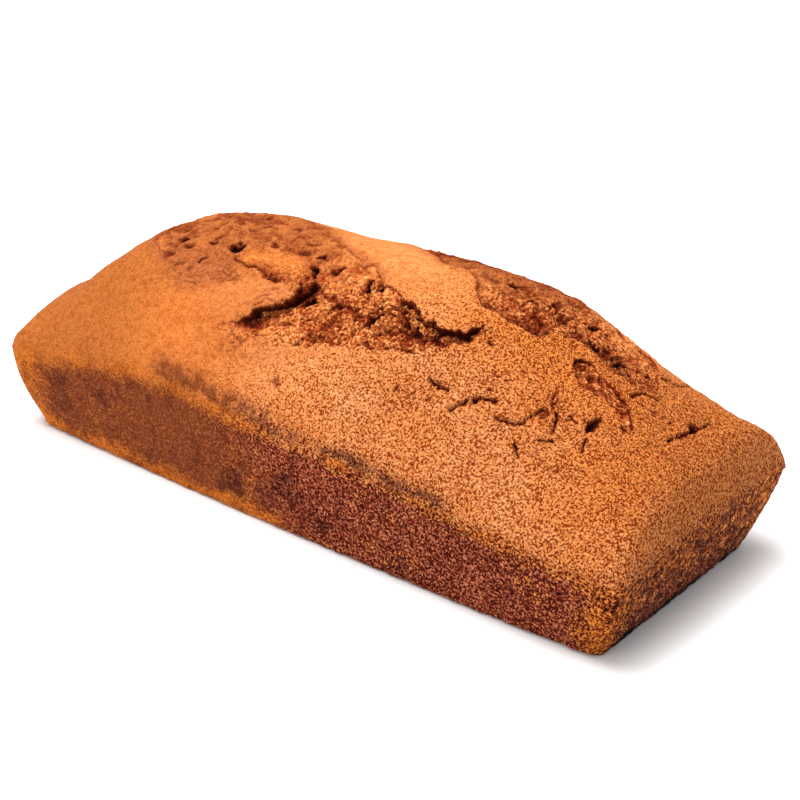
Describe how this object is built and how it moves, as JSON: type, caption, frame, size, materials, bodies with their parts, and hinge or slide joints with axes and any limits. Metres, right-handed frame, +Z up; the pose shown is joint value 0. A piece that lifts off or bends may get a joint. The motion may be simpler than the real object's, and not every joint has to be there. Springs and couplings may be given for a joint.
{
  "type": "banana bread loaf",
  "caption": "Whole loaf of banana bread baked in a long tin, with tapered brown sides and a domed golden crust that has torn open over the crumb.",
  "frame": {"origin": "middle of the loaf's length and width, on the flat base it stands on", "axes": "+X along the loaf, +Y across it, +Z up; the long side whose crust climbs highest faces -Y"},
  "size_m": [0.2524, 0.1088, 0.089],
  "materials": {
    "top_crust": "golden tan baked crust, matt and finely pitted, a little darker and greyer along the rim",
    "tin_crust": "brown crust baked against the tin, matt, densely pitted, orange at its edges",
    "torn_crumb": "torn open crumb, reddish brown, matt, lumpy with dark holes"
  },
  "bodies": {
    "root": {"loaf": "top_crust"}
  },
  "joints": []
}
